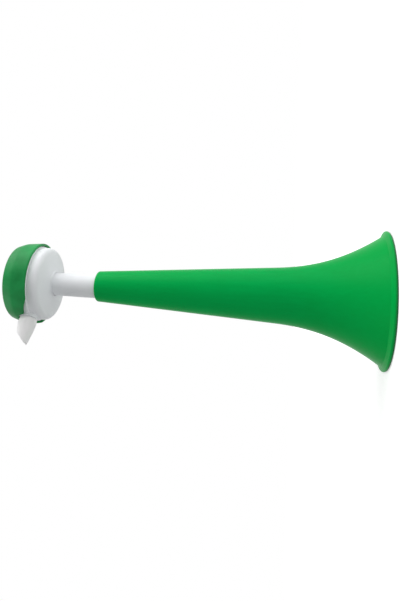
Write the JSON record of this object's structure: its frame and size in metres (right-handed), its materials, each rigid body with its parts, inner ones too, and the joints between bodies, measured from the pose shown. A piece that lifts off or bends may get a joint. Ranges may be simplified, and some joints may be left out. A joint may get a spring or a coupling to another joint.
{
  "type": "diaphragm horn",
  "caption": "Mouth-blown plastic diaphragm horn: a flared bell with a plug-in head, a round air chamber, a side mouthpiece and a notched rear cap.",
  "frame": {"origin": "centre of the bell's mouth, in the flat plane of its rim, on which the horn stands", "axes": "+Z along the horn's axis from the bell's mouth to the head, -Y the way the mouthpiece points"},
  "size_m": [0.1014, 0.1021, 0.2839],
  "materials": {
    "bell_plastic": "smooth moulded green plastic, satin gloss",
    "neck_plastic": "smooth moulded white plastic",
    "drum_plastic": "smooth moulded white plastic",
    "mouthpiece_plastic": "smooth moulded white plastic",
    "diaphragm_film": "thin clear film, glossy",
    "ring_plastic": "moulded white plastic",
    "cap_plastic": "smooth moulded green plastic, satin gloss"
  },
  "bodies": {
    "bell_body": {"bell": "bell_plastic"},
    "head_body": {"neck_tube": "neck_plastic", "chamber_drum": "drum_plastic", "mouthpiece": "mouthpiece_plastic", "retaining_ring": "ring_plastic"},
    "film_body": {"diaphragm": "diaphragm_film"},
    "cap_body": {"cap": "cap_plastic"}
  },
  "joints": [
    {"name": "head_pull", "type": "slide", "parent": "bell_body", "child": "head_body", "axis": [0, 0, 1], "range_m": [0, 0.03]},
    {"name": "cap_pull", "type": "slide", "parent": "head_body", "child": "cap_body", "axis": [0, 0, 1], "range_m": [0, 0.024]},
    {"name": "diaphragm_lift", "type": "slide", "parent": "head_body", "child": "film_body", "axis": [0, 0, 1], "range_m": [0, 0.00025], "stiffness_N_per_m": 2000}
  ]
}
